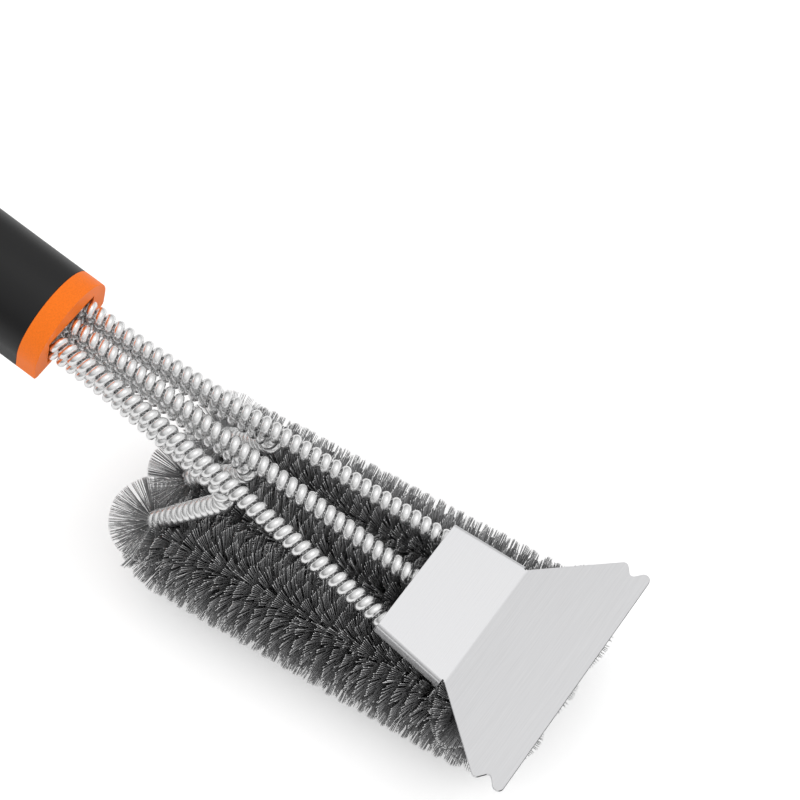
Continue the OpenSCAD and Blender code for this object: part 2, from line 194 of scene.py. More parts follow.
def setUpWorld():
    world = bpy.data.worlds.new("studioWorld")
    bpy.context.scene.world = world
    world.use_nodes = True
    nodes, links = world.node_tree.nodes, world.node_tree.links
    nodes.clear()
    output = nodes.new("ShaderNodeOutputWorld")
    light = nodes.new("ShaderNodeBackground")
    light.inputs["Color"].default_value = (1, 1, 1, 1)
    light.inputs["Strength"].default_value = studio["ambient"]
    shown = nodes.new("ShaderNodeBackground")
    shown.inputs["Color"].default_value = (1, 1, 1, 1)
    shown.inputs["Strength"].default_value = 1.0
    # polished metal sees one side of the room bright and the other dark
    place = nodes.new("ShaderNodeTexCoord")
    facing = nodes.new("ShaderNodeVectorMath")
    facing.operation = "DOT_PRODUCT"
    facing.inputs[1].default_value = studio["brightSide"]
    links.new(place.outputs["Generated"], facing.inputs[0])
    ramp = nodes.new("ShaderNodeValToRGB")
    setRamp(ramp, [(position, (level, level, level)) for position, level in studio["roomLevels"]])
    links.new(facing.outputs["Value"], ramp.inputs["Fac"])
    room = nodes.new("ShaderNodeBackground")
    room.inputs["Strength"].default_value = studio["roomStrength"]
    links.new(ramp.outputs["Color"], room.inputs["Color"])
    rays = nodes.new("ShaderNodeLightPath")
    first = nodes.new("ShaderNodeMixShader")
    links.new(rays.outputs["Is Glossy Ray"], first.inputs["Fac"])
    links.new(light.outputs[0], first.inputs[1])
    links.new(room.outputs[0], first.inputs[2])
    second = nodes.new("ShaderNodeMixShader")
    links.new(rays.outputs["Is Camera Ray"], second.inputs["Fac"])
    links.new(first.outputs[0], second.inputs[1])
    links.new(shown.outputs[0], second.inputs[2])
    links.new(second.outputs[0], output.inputs["Surface"])


def addSoftbox(name, box):
    bpy.ops.object.light_add(type="AREA", location=box["at"])
    lamp = bpy.context.object
    lamp.name = name
    lamp.data.shape = "RECTANGLE"
    lamp.data.size, lamp.data.size_y = box["size"]
    lamp.data.energy = box["energy"]
    lamp.visible_glossy = False
    aim = Vector(studio["lampTarget"]) - Vector(box["at"])
    lamp.rotation_euler = aim.to_track_quat("-Z", "Y").to_euler()


setUpCamera()
setUpFloor()
setUpWorld()
for name, box in softboxes.items():
    addSoftbox(name, box)
bpy.context.scene.view_settings.view_transform = "Standard"
print("stage: camera, floor and lights")


# Materials
metals = {
    "wireColour": (0.94, 0.94, 0.94),
    "wireRough": (0.23, 0.31),
    "wireGrain": 900,
    "wireBump": (0.08, 0.00005),        # strength, then depth in metres
    "sheetColours": ((0.25, (0.69, 0.69, 0.70)), (0.75, (0.78, 0.78, 0.79))),
    "sheetRough": (0.34, 0.46),
    "sheetGrain": 60,
    "sheetBrushed": (60, 1, 60),        # drawn out along Y
    "sheetBump": (0.06, 0.00003),
    # painted shade for the faces that turn forward, along the blade's front edge
    "frontEdgeShade": (0.06, 0.06, 0.062),
    "bristleColours": ((0.0, (0.055, 0.055, 0.057)), (0.8, (0.42, 0.42, 0.425)),
                       (1.0, (0.85, 0.85, 0.85))),
    # painted highlight at the filaments' ends
    "tipHighlight": (0.95, 0.95, 0.95),
    "tipFrom": 0.955,                   # share of a filament's length where the painted highlight at its end begins
    "bristleMetallic": 0.4,
    "bristleRough": 0.42,
}
plastics = {
    "gripPlastic": {"colour": (0.008, 0.008, 0.0085), "rough": 0.40, "gloss": 0.33,
                    "grain": 2500, "depth": 0.00004},
    "collarPlastic": {"colour": (0.96, 0.19, 0.010), "rough": 0.45, "gloss": 0.2,
                      "grain": 1800, "depth": 0.00003},
    "socketPlastic": {"colour": (0.012, 0.012, 0.012), "rough": 0.6, "gloss": 0.33,
                      "grain": 1500, "depth": 0.00003},
}
# how far the grain of a plastic moves its colour and roughness, and how strong its bump is
mottling = {"darker": 0.92, "lighter": 1.06, "rough": 0.05, "bump": 0.25}


def startMaterial(name):
    material = bpy.data.materials.new(name)
    material.use_nodes = True
    nodes, links = material.node_tree.nodes, material.node_tree.links
    return material, nodes, links, nodes["Principled BSDF"]


def addGrain(nodes, links, scale, stretch=(1, 1, 1), detail=3.0):
    # noise on the piece's own coordinates, drawn out along any axis
    place = nodes.new("ShaderNodeTexCoord")
    mapping = nodes.new("ShaderNodeMapping")
    mapping.inputs["Scale"].default_value = stretch
    links.new(place.outputs["Object"], mapping.inputs["Vector"])
    noise = nodes.new("ShaderNodeTexNoise")
    noise.inputs["Scale"].default_value = scale
    noise.inputs["Detail"].default_value = detail
    links.new(mapping.outputs["Vector"], noise.inputs["Vector"])
    return noise.outputs["Fac"]


def spreadValue(nodes, links, source, low, high, fromLow=0.3, fromHigh=0.7):
    span = nodes.new("ShaderNodeMapRange")
    span.inputs["From Min"].default_value = fromLow
    span.inputs["From Max"].default_value = fromHigh
    span.inputs["To Min"].default_value = low
    span.inputs["To Max"].default_value = high
    links.new(source, span.inputs["Value"])
    return span.outputs["Result"]


def addBump(nodes, links, shader, source, strength, distance):
    bump = nodes.new("ShaderNodeBump")
    bump.inputs["Strength"].default_value = strength
    bump.inputs["Distance"].default_value = distance
    links.new(source, bump.inputs["Height"])
    links.new(bump.outputs["Normal"], shader.inputs["Normal"])


def makeWireMaterial():
    material, nodes, links, shader = startMaterial("polishedWire")
    shader.inputs["Base Color"].default_value = (*metals["wireColour"], 1)
    shader.inputs["Metallic"].default_value = 1.0
    grain = addGrain(nodes, links, metals["wireGrain"], detail=2.0)
    links.new(spreadValue(nodes, links, grain, *metals["wireRough"]), shader.inputs["Roughness"])
    addBump(nodes, links, shader, grain, *metals["wireBump"])
    return material


def makeSheetMaterial():
    material, nodes, links, shader = startMaterial("brushedSheet")
    shader.inputs["Metallic"].default_value = 1.0
    grain = addGrain(nodes, links, metals["sheetGrain"], metals["sheetBrushed"], detail=4.0)
    tone = nodes.new("ShaderNodeValToRGB")
    setRamp(tone, metals["sheetColours"])
    links.new(grain, tone.inputs["Fac"])
    # painted shade: the faces that turn forward, along the blade's front edge, are darkened
    surface = nodes.new("ShaderNodeNewGeometry")
    forward = nodes.new("ShaderNodeVectorMath")
    forward.operation = "DOT_PRODUCT"
    forward.inputs[1].default_value = (1.0, 0.0, 0.0)
    links.new(surface.outputs["True Normal"], forward.inputs[0])
    edgeShade = nodes.new("ShaderNodeMix")
    edgeShade.data_type = "RGBA"
    edgeShade.inputs["B"].default_value = (*metals["frontEdgeShade"], 1)
    facesForward = spreadValue(nodes, links, forward.outputs["Value"], 0, 1, 0.5, 0.7)
    links.new(facesForward, edgeShade.inputs["Factor"])
    links.new(tone.outputs["Color"], edgeShade.inputs["A"])
    links.new(edgeShade.outputs["Result"], shader.inputs["Base Color"])
    links.new(spreadValue(nodes, links, grain, *metals["sheetRough"]), shader.inputs["Roughness"])
    addBump(nodes, links, shader, grain, *metals["sheetBump"])
    return material


def makeBristleMaterial():
    material, nodes, links, shader = startMaterial("bristleSteel")
    shader.inputs["Metallic"].default_value = metals["bristleMetallic"]
    shader.inputs["Roughness"].default_value = metals["bristleRough"]
    shade = nodes.new("ShaderNodeAttribute")
    shade.attribute_name = "shade"
    reach = nodes.new("ShaderNodeAttribute")
    reach.attribute_name = "reach"
    body = nodes.new("ShaderNodeValToRGB")
    setRamp(body, metals["bristleColours"])
    links.new(shade.outputs["Fac"], body.inputs["Fac"])
    # painted highlight over the last part of each filament whose reach gets that far
    tipHighlightMask = nodes.new("ShaderNodeMapRange")
    tipHighlightMask.inputs["From Min"].default_value = metals["tipFrom"]
    tipHighlightMask.inputs["From Max"].default_value = 1.0
    links.new(reach.outputs["Fac"], tipHighlightMask.inputs["Value"])
    tip = nodes.new("ShaderNodeMix")
    tip.data_type = "RGBA"
    tip.inputs["B"].default_value = (*metals["tipHighlight"], 1)
    links.new(tipHighlightMask.outputs["Result"], tip.inputs["Factor"])
    links.new(body.outputs["Color"], tip.inputs["A"])
    links.new(tip.outputs["Result"], shader.inputs["Base Color"])
    return material


def makePlasticMaterial(name):
    plastic = plastics[name]
    material, nodes, links, shader = startMaterial(name)
    grain = addGrain(nodes, links, plastic["grain"], detail=2.0)
    tone = nodes.new("ShaderNodeValToRGB")
    darker = [c * mottling["darker"] for c in plastic["colour"]]
    lighter = [min(1, c * mottling["lighter"]) for c in plastic["colour"]]
    setRamp(tone, ((0.3, darker), (0.7, lighter)))
    links.new(grain, tone.inputs["Fac"])
    links.new(tone.outputs["Color"], shader.inputs["Base Color"])
    shader.inputs["Specular IOR Level"].default_value = plastic["gloss"]
    low, high = plastic["rough"] - mottling["rough"], plastic["rough"] + mottling["rough"]
    links.new(spreadValue(nodes, links, grain, low, high), shader.inputs["Roughness"])
    addBump(nodes, links, shader, grain, mottling["bump"], plastic["depth"])
    return material


wireMetal = makeWireMaterial()
sheetMetal = makeSheetMaterial()
bristleMetal = makeBristleMaterial()
gripPlastic = makePlasticMaterial("gripPlastic")
collarPlastic = makePlasticMaterial("collarPlastic")
socketPlastic = makePlasticMaterial("socketPlastic")
print("stage: materials")


# One folded sheet is the sleeve around the shafts and the blade. The shafts and the
# bristles are laid out around it, so its sizes come first.
sheet = {
    "thick": 1.2,
    "sleeveHeight": 4.9,    # from the shafts' middle to the top of the sheet
    "sleeveLen": 29.0,
    "foldBack": 10.0,       # from the front of the shafts back to the fold
    "rise": 11.2,           # blade above the sleeve, degrees
    "bladeLen": 36.5,
    "bladeWide": 94.2,
    "corner": 2.0,          # radius of a front corner
    "lobe": 1.6,            # radius of the round behind a notch
    "lobeBack": 10.3,
    "notch": 1.35,          # radius at the bottom of a notch
    "notchBack": 6.3,
    "notchDeep": 3.2,
    "rearHalf": 23.48,      # half the sleeve's width at its rear
    "flare": 5.7,           # spread of each side, degrees
    "edgeBend": 1.5,        # outer radius along the sleeve's upper edges
    "seam": 1.2,            # gap between the two flaps below the shafts
    "relief": 1.0,          # the sleeve's sides end this far behind the fold
    "strip": 0.5,
    "foldStart": -0.3,      # where the fold's bend begins
    "foldRun": 0.9,         # length of sheet that it takes up
    "foldTurns": 3,
    "edge": 0.16,           # rounding of the cut edges
}


# Twisted stems
wire = {
    "radius": 1.70,         # of the wire itself
    "helix": 1.95,          # of its middle line around the stem
    "shaftPitch": 4.04,     # from one bead to the next
    "hookPitch": 3.56,
    "hookSize": 1.06,       # the hook is wound a little thicker
    "pointsPerTurn": 18,
    "roundness": 4,         # bevel resolution of the drawn wire
}
stems = {
    # side: towards +Y or -Y; hand: which way the wire winds
    "left": {"side": 1, "hand": 1},
    "middle": {"side": 0, "hand": 1},
    "right": {"side": -1, "hand": -1},
}


def bendPoints(middle, radius, first, last, steps):
    # (point, heading) pairs round a bend, from one heading to just before another
    headings = [first + (last - first) * i / steps for i in range(steps)]
    return [(middle + radius * upFrom(heading), heading) for heading in headings]


def hookStart():
    # where the riser starts and how long it is, so that the return run lies
    # a fixed drop below the shaft
    slope = math.radians(layout["riserSlope"])
    start = rearMiddle + layout["rearBend"] * upFrom(slope)
    turn = math.pi - tilt - slope
    cut = layout["hairpin"] * math.tan(turn / 2)
    rise = -layout["returnDrop"] - (start - shaftStart).dot(shaftUp)
    length = rise / math.sin(slope + tilt) - cut
    return slope, start, length


def stemRoute():
    # the middle line of one stem, from the socket forward, round both bends and back:
    # (point, heading, distance from the middle stem, pitch)
    slope, riserStart, riserLen = hookStart()
    riserEnd = riserStart + riserLen * Vector((math.cos(slope), 0, math.sin(slope)))
    hairpin = layout["hairpin"]
    hairpinMiddle = riserEnd + hairpin * upFrom(slope)
    hairpinTurn = math.pi - tilt - slope
    hookRun = riserLen + hairpin * hairpinTurn
    returnStart = hairpinMiddle + hairpin * shaftUp
    returnBack = (returnStart - shaftStart).dot(shaftBack)
    returnLen = layout["stemEnd"] - returnBack
    shaftPitch, hookPitch = wire["shaftPitch"], wire["hookPitch"]
    shaftStep = shaftPitch / wire["pointsPerTurn"]
    hookStep = hookPitch / wire["pointsPerTurn"]
    coreGap = layout["coreGap"]
    coreLen = layout["coreFront"] - layout["coreRear"]
    rearTurn = math.pi - slope

    def hookSide(along):
        # the hook narrows from the brushes to the shafts
        return coreGap + (shaftSide(returnBack) - coreGap) * along / hookRun

    route = []
    # shaft
    steps = round(layout["stemEnd"] / shaftStep)
    for i in range(steps):
        back = layout["stemEnd"] * (1 - i / steps)
        route.append((onShaft(back), -tilt, shaftSide(back), shaftPitch))
    # front bend
    steps = round(layout["bend"] * (math.pi - tilt) / hookStep)
    for place, heading in bendPoints(frontMiddle, layout["bend"], -tilt, -math.pi, steps):
        route.append((place, heading, coreGap, hookPitch))
    # core of the brush
    steps = round(coreLen / shaftStep)
    for i in range(steps):
        place = Vector((layout["coreFront"] - coreLen * i / steps, 0, layout["coreHeight"]))
        route.append((place, -math.pi, coreGap, shaftPitch))
    # rear bend
    steps = round(layout["rearBend"] * rearTurn / hookStep)
    rear = bendPoints(rearMiddle, layout["rearBend"], -math.pi, -math.pi - rearTurn, steps)
    for place, heading in rear:
        route.append((place, heading, coreGap, hookPitch))
    # riser
    steps = round(riserLen / hookStep)
    for i in range(steps):
        place = riserStart + (riserEnd - riserStart) * i / steps
        route.append((place, slope, hookSide(riserLen * i / steps), hookPitch))
    # hairpin, which bends the other way
    steps = round(hairpin * hairpinTurn / hookStep)
    for place, heading in bendPoints(hairpinMiddle, -hairpin, slope, math.pi - tilt, steps):
        route.append((place, heading, hookSide(riserLen + hairpin * (heading - slope)), hookPitch))
    # return run
    steps = round(returnLen / shaftStep)
    for i in range(steps + 1):
        back = returnBack + returnLen * i / steps
        place = returnStart + (back - returnBack) * shaftBack
        route.append((place, math.pi - tilt, shaftSide(back), shaftPitch))
    return route


def coilPoints(route, stem):
    # (point, size) pairs of the wire coiled around a route
    points = []
    turn, before = 0.0, None
    across = Vector((0, -stem["hand"], 0))
    for place, heading, side, pitch in route:
        middle = place + Vector((0, stem["side"] * side, 0))
        if before is not None:
            turn += 2 * math.pi * (middle - before).length / pitch
        before = middle
        size = wire["hookSize"] if pitch == wire["hookPitch"] else 1.0
        outward = math.cos(turn) * upFrom(heading) + math.sin(turn) * across
        points.append((middle + size * wire["helix"] * outward, size))
    return points


def makeStem(name, stem):
    drawn = bpy.data.curves.new(name + "Stem", "CURVE")
    drawn.dimensions = "3D"
    drawn.twist_mode = "MINIMUM"
    drawn.bevel_depth = wire["radius"] * mm
    drawn.bevel_resolution = wire["roundness"]
    drawn.use_fill_caps = True
    points = coilPoints(stemRoute(), stem)
    coil = drawn.splines.new("POLY")
    coil.points.add(len(points) - 1)
    corners = [c for p, size in points for c in (p.x * mm, p.y * mm, p.z * mm, 1)]
    coil.points.foreach_set("co", corners)
    coil.points.foreach_set("radius", [size for p, size in points])
    coil.use_smooth = True
    piece = bpy.data.objects.new(name + "Stem", drawn)
    bpy.context.collection.objects.link(piece)
    makeActive(piece)
    bpy.ops.object.convert(target="MESH")
    piece = bpy.context.object
    piece.data.materials.clear()
    piece.data.materials.append(wireMetal)
    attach(piece, "root")
    ends = ("core", "shaft_wire_a", "shaft_wire_b", "hook_wire_a", "hook_wire_b",
            "return_wire_a", "return_wire_b")
    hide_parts(*[name + "_" + end for end in ends])


for name, stem in stems.items():
    makeStem(name, stem)
print("stage: twisted stems")


# Bristles
bristle = {
    "clump": 10,            # filaments that stand in one flat tuft
    "gather": 0.10,         # how far the filaments of a tuft draw together
    "cross": 0.09,          # lean between the two sets of filaments in a tuft
    "tuftLean": 0.03,       # how unevenly the tufts lean
    "ownLean": 0.015,       # and the filaments in them
    "under": 3.0,           # how much shorter the second set is
    "underShade": 0.6,       # painted shade on the second set, which stands under the first
    "underHighlight": 0.9,        # keeps the painted highlight off its ends
    "loose": 0.13,          # share of filaments that stand out of their tuft
    "looseLean": 0.10,
    "looseSwing": 0.03,
    "root": 1.2,            # where a filament starts, from the middle of the stem
    "uneven": 0.5,          # difference in length between tufts
    "shortest": 2,          # a filament that is cut shorter is left out
    "outer": 1.6,           # how much longer the left brush is on its outer side
    "front": 1.8,           # extra length of the filaments that point forward
    "darkest": 0.15,
    "tuftShade": 0.2,       # how much the shade differs between tufts
    "ownShade": 0.45,       # and between filaments
    "clear": 0.35,          # gap below the sleeve and the blade
    "floorClear": 0.1,
    "riserClear": 3.5,      # and around the middle of the riser
    "stub": 0.5,            # nothing is cut shorter than this
    "sleeveAhead": 3,       # how far the sleeve's underside counts in front of the fold
    "sleeveBehind": 0.5,    # and behind the sleeve
    "bladeBehind": 2,       # and the blade's behind the fold
    "frontTurn": 155,       # degrees of each bend that carry bristles
    "rearTurn": 138,
    "turnRun": 5,           # length of the Turn zone along the wire
    "fanRun": 1.6,          # length of the Fan zone, half a turn of its rows
    "seed": 7,
}
# From the front to the rear of a brush. The pitch is one turn of the two rows of tufts,
# the spacing lies between two filaments' ends, bright is the share that get a painted highlight
# along their whole length, tone is painted light that lightens all of the zone's filaments,
# and the width is the radius of a filament's three corners.
zones = {
    "Rows": {"reach": 19.5, "pitch": 9.1, "spacing": 0.78, "layers": 2,
             "tone": 0, "bright": 0.012, "width": 0.155},
    "Turn": {"reach": 18.5, "pitch": 9.1, "spacing": 0.6, "layers": 2,
             "tone": 0, "bright": 0.012, "width": 0.155},
    "Rear": {"reach": 16.5, "pitch": 9.1, "spacing": 0.46, "layers": 1,
             "tone": 0.05, "bright": 0.06, "width": 0.12},
    "Fan": {"reach": 16.5, "pitch": 3.2, "spacing": 0.598, "layers": 1,
            "tone": 0.15, "bright": 0.12, "width": 0.12},
}


def makeFilament():
    # one three-sided filament of length 1 standing on Z, copied for each place
    deselectAll()
    middle = (0, 0, 0.5)
    bpy.ops.mesh.primitive_cone_add(vertices=3, radius1=1.0, radius2=1.0, depth=1, location=middle)
    pattern = bpy.context.object
    bpy.ops.object.transform_apply(location=True)
    points = np.array([v.co[:] for v in pattern.data.vertices])
    faces = [list(face.vertices) for face in pattern.data.polygons]
    bpy.data.objects.remove(pattern, do_unlink=True)
    return points, faces


filamentPoints, filamentFaces = makeFilament()


def plantFilaments(name, roots, tips, shades, highlightShares, radius):
    # copies the filament from each root to its tip as one mesh
    count = len(roots)
    along = tips - roots
    length = np.linalg.norm(along, axis=1, keepdims=True)
    heading = along / length
    acrossY = np.array([[0.0, 1.0, 0.0]])
    acrossX = np.array([[1.0, 0.0, 0.0]])
    wide = np.cross(heading, np.where(np.abs(heading[:, 1:2]) < 0.8, acrossY, acrossX))
    wide /= np.linalg.norm(wide, axis=1, keepdims=True)
    deep = np.cross(heading, wide)
    x, y, z = (filamentPoints[None, :, k:k + 1] for k in range(3))
    corners = (roots[:, None, :] + along[:, None, :] * z
               + radius * (wide[:, None, :] * x + deep[:, None, :] * y))
    perPiece = len(filamentPoints)
    sizes = [len(face) for face in filamentFaces]
    loop = np.concatenate([np.array(face) for face in filamentFaces])
    loops = (np.arange(count)[:, None] * perPiece + loop[None, :]).ravel()
    starts = np.concatenate([[0], np.cumsum(sizes)[:-1]])
    faceStarts = (np.arange(count)[:, None] * len(loop) + starts[None, :]).ravel()
    mesh = bpy.data.meshes.new(name)
    mesh.vertices.add(count * perPiece)
    mesh.vertices.foreach_set("co", (corners * mm).ravel())
    mesh.loops.add(len(loops))
    mesh.loops.foreach_set("vertex_index", loops)
    mesh.polygons.add(len(faceStarts))
    mesh.polygons.foreach_set("loop_start", faceStarts)
    mesh.update(calc_edges=True)
    mesh.validate()
    shade = mesh.attributes.new("shade", "FLOAT", "POINT")
    shade.data.foreach_set("value", np.repeat(shades, perPiece))
    # reach runs from root to end, scaled by each filament's share of the painted highlight
    reach = mesh.attributes.new("reach", "FLOAT", "POINT")
    heights = np.tile(filamentPoints[:, 2], count)
    reach.data.foreach_set("value", heights * np.repeat(highlightShares, perPiece))
    mesh.materials.append(bristleMetal)
    piece = bpy.data.objects.new(name, mesh)
    bpy.context.collection.objects.link(piece)
    return piece


def cutLength(root, heading, reach):
    # how far each filament may run before the floor, the sleeve or the blade stops it
    free = reach.copy()

    def stopAt(normal, level, where=None):
        gap = level - root @ normal
        rate = heading @ normal
        hit = np.where(rate > 1e-6, gap / np.maximum(rate, 1e-6), np.inf)
        if where is not None:
            place = root + heading * hit[:, None]
            hit = np.where(where(place), hit, np.inf)
        free[:] = np.minimum(free, np.maximum(hit, bristle["stub"]))

    stopAt(np.array([0.0, 0.0, -1.0]), -bristle["floorClear"])
    up = np.array(shaftUp)
    back = np.array(shaftBack)
    start = np.array(shaftStart)
    under = start @ up - sheet["sleeveHeight"] - bristle["clear"]

    def belowSleeve(place):
        along = (place - start) @ back - sheet["foldBack"]
        rear = sheet["sleeveLen"] + bristle["sleeveBehind"]
        return (along > -bristle["sleeveAhead"]) & (along < rear)

    stopAt(up, under, belowSleeve)
    slope = tilt - math.radians(sheet["rise"])
    bladeUp = np.array([math.sin(slope), 0.0, math.cos(slope)])
    fold = np.array(onShaft(sheet["foldBack"], sheet["sleeveHeight"]))
    underBlade = fold @ bladeUp - sheet["thick"] - bristle["clear"]
    stopAt(bladeUp, underBlade, lambda place: place[:, 0] > fold[0] - bristle["bladeBehind"])
    return free


def clearOfRiser(root, heading, length, side):
    # true for filaments that miss the wire rising from the rear bend
    slope, start, _ = hookStart()
    line = np.array([math.cos(slope), 0.0, math.sin(slope)])
    middle = np.array(start) + np.array([0.0, side * layout["coreGap"], 0.0])
    keep = np.ones(len(root), bool)
    # tried at twelve places along the outer three quarters of each filament
    for share in np.linspace(0.25, 1.0, 12):
        place = root + heading * (length * share)[:, None] - middle
        along = place @ line
        off = np.linalg.norm(place - along[:, None] * line, axis=1)
        keep &= (off > bristle["riserClear"]) | (along < -0.5)
    return keep


def windRows(route, stem, zone, first, last, random):
    # filaments in two rows that wind around one stretch of the route: their roots,
    # directions, lengths and shades, and how much of each end may get the painted highlight
    places = np.array([place[:] for place, heading in route])
    headings = np.array([heading for place, heading in route])
    run = np.concatenate([[0], np.cumsum(np.linalg.norm(np.diff(places, axis=0), axis=1))])
    step = zone["spacing"] / (2 * math.pi * zone["reach"]) * zone["pitch"]
    number = np.arange(int(first / step), int(min(last, run[-1]) / step))
    count = len(number)
    clump = bristle["clump"]
    groups = []
    for start in (0, math.pi):
        place = number + random.integers(clump)
        tuft = place // clump - place[0] // clump
        inTuft = place % clump - (clump - 1) / 2
        tufts = tuft[-1] + 1
        tuftLean = bristle["cross"] / 2 + random.normal(0, bristle["tuftLean"], tufts)
        tuftShade, tuftCut = random.random(tufts), random.random(tufts)
        for layer in range(zone["layers"]):
            along = (number + 0.5 * layer) * step
            loose = random.random(count) < bristle["loose"]
            leaning = np.where(loose, bristle["looseLean"], bristle["ownLean"])
            lean = random.normal(0, leaning, count)
            lean += tuftLean[tuft] - bristle["cross"] * layer
            swing = np.where(loose, random.normal(0, bristle["looseSwing"], count), 0)
            swing -= inTuft * bristle["gather"] * zone["spacing"] / zone["reach"]
            middle = np.column_stack([np.interp(along, run, places[:, k]) for k in range(3)])
            middle[:, 1] += stem["side"] * layout["coreGap"]
            heading = np.interp(along, run, headings)
            turn = 2 * math.pi * along / zone["pitch"] + start + swing
            ahead = np.column_stack([np.cos(heading), np.zeros(count), np.sin(heading)])
            up = np.column_stack([-np.sin(heading), np.zeros(count), np.cos(heading)])
            across = np.tile([0.0, -float(stem["hand"]), 0.0], (count, 1))
            aim = np.cos(turn)[:, None] * up + np.sin(turn)[:, None] * across
            aim = aim + np.tan(lean)[:, None] * ahead
            aim /= np.linalg.norm(aim, axis=1, keepdims=True)
            length = zone["reach"] - bristle["root"] - bristle["uneven"] * tuftCut[tuft]
            length -= bristle["under"] * layer
            length -= np.where(loose, random.random(count), 0)
            length += bristle["front"] * np.clip(aim[:, 0], 0, 1)
            if stem["side"] > 0:
                length += bristle["outer"] * np.clip(aim[:, 1], 0, 1)
            shade = bristle["darkest"] + bristle["tuftShade"] * tuftShade[tuft]
            shade += bristle["ownShade"] * random.random(count)
            # painted light: the zone's tone lightens its filaments
            shade += zone["tone"]
            # painted shade: the second set, under the first, is darkened
            shade *= 1 - bristle["underShade"] * layer
            # painted highlight: a share of the filaments is made fully bright
            shade = np.where(random.random(count) < zone["bright"], 1.0, shade)
            # the first set's ends get the painted highlight, the second set's stay below where it
            # begins
            tip = np.full(count, bristle["underHighlight"] if layer else 1.0)
            groups.append((middle + aim * bristle["root"], aim, length, np.clip(shade, 0, 1), tip))
    return [np.concatenate(part) for part in zip(*groups)]


def makeBristles(name, stem):
    random = np.random.default_rng(bristle["seed"] + stem["side"])
    # one route: down round the front bend, back along the core and up round the rear bend
    frontTurn, rearTurn = math.radians(bristle["frontTurn"]), math.radians(bristle["rearTurn"])
    route = bendPoints(frontMiddle, layout["bend"], frontTurn - math.pi, -math.pi, 40)
    route += bendPoints(rearMiddle, layout["rearBend"], -math.pi, -math.pi - rearTurn, 40)
    coreEnd = layout["bend"] * frontTurn + layout["coreFront"] - layout["coreRear"]
    rearEnd = coreEnd + layout["rearBend"] * rearTurn
    stops = (0, coreEnd, coreEnd + bristle["turnRun"], rearEnd - bristle["fanRun"], rearEnd)
    for (zoneName, zone), first, last in zip(zones.items(), stops, stops[1:]):
        root, aim, length, shade, tip = windRows(route, stem, zone, first, last, random)
        length = cutLength(root, aim, length)
        keep = clearOfRiser(root, aim, length, stem["side"]) & (length > bristle["shortest"])
        root, aim, length, shade, tip = root[keep], aim[keep], length[keep], shade[keep], tip[keep]
        ends = root + aim * length[:, None]
        piece = plantFilaments(name + "Bristle" + zoneName, root, ends, shade, tip, zone["width"])
        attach(piece, "root")
        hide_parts(name + "_bristles")
        print("filaments:", piece.name, len(root))


for name, stem in stems.items():
    makeBristles(name, stem)
print("stage: bristles")


# Scraper
def arcPoints(middle, radius, first, last, steps):
    # points along an arc, angles in degrees
    angles = [math.radians(first + (last - first) * i / steps) for i in range(steps + 1)]
    return [(middle[0] + radius * math.cos(a), middle[1] + radius * math.sin(a)) for a in angles]


def lineAngle(first, second, offset):
    # direction of the straight line that touches a round at either end, in degrees
    across = math.asin(offset / math.dist(first, second))
    return math.degrees(math.atan2(second[1] - first[1], second[0] - first[0]) + across)


def sleeveHalf(x):
    # half the sleeve's width at a distance from the fold
    return sheet["rearHalf"] + (x + sheet["sleeveLen"]) * math.tan(math.radians(sheet["flare"]))


def halfSheetOutline():
    # the +Y half of the flat sheet, from the middle of the sleeve's rear edge round to the front
    wide, front = sheet["bladeWide"] / 2, sheet["bladeLen"]
    lobe, notch, corner = sheet["lobe"], sheet["notch"], sheet["corner"]
    rear, relief, strip = -sheet["sleeveLen"], -sheet["relief"], -sheet["strip"]
    flatHalf = sleeveHalf(relief) - sheet["edgeBend"]
    foldHalf = spread(sheet["foldBack"]) + sheet["sleeveHeight"]
    lobeMid = (front - sheet["lobeBack"], wide - lobe)
    notchMid = (front - sheet["notchBack"], wide - sheet["notchDeep"] + notch)
    cornerMid = (front - corner, wide - corner)
    flare = lineAngle((0, foldHalf), lobeMid, lobe)
    dip = lineAngle(lobeMid, notchMid, -lobe - notch)
    rise = lineAngle(notchMid, cornerMid, notch + corner)
    points = [(rear, 0), (rear, sleeveHalf(rear) - sheet["edgeBend"]), (relief, flatHalf),
              (strip, flatHalf), (strip, foldHalf), (0, foldHalf)]
    points += arcPoints(lobeMid, lobe, 90 + flare, 90 + dip, 10)
    points += arcPoints(notchMid, notch, dip - 90, rise - 90, 12)
    points += arcPoints(cornerMid, corner, 90 + rise, 0, 12)
    points += [(front, 0)]
    return points


def selectVerts(piece, test):
    # picks vertices in code, by their place in millimetres
    bpy.ops.object.mode_set(mode="OBJECT")
    for part in (piece.data.polygons, piece.data.edges, piece.data.vertices):
        part.foreach_set("select", [False] * len(part))
    for vertex in piece.data.vertices:
        vertex.select = test(vertex.co / mm)
    bpy.ops.object.mode_set(mode="EDIT")
    bpy.ops.mesh.select_mode(type="VERT")


def selectEdges(piece, test):
    bpy.ops.object.mode_set(mode="EDIT")
    bpy.ops.mesh.select_mode(type="EDGE")
    bpy.ops.mesh.select_all(action="DESELECT")
    bpy.ops.object.mode_set(mode="OBJECT")
    points = piece.data.vertices
    for edge in piece.data.edges:
        edge.select = all(test(points[i].co / mm) for i in edge.vertices)
    bpy.ops.object.mode_set(mode="EDIT")


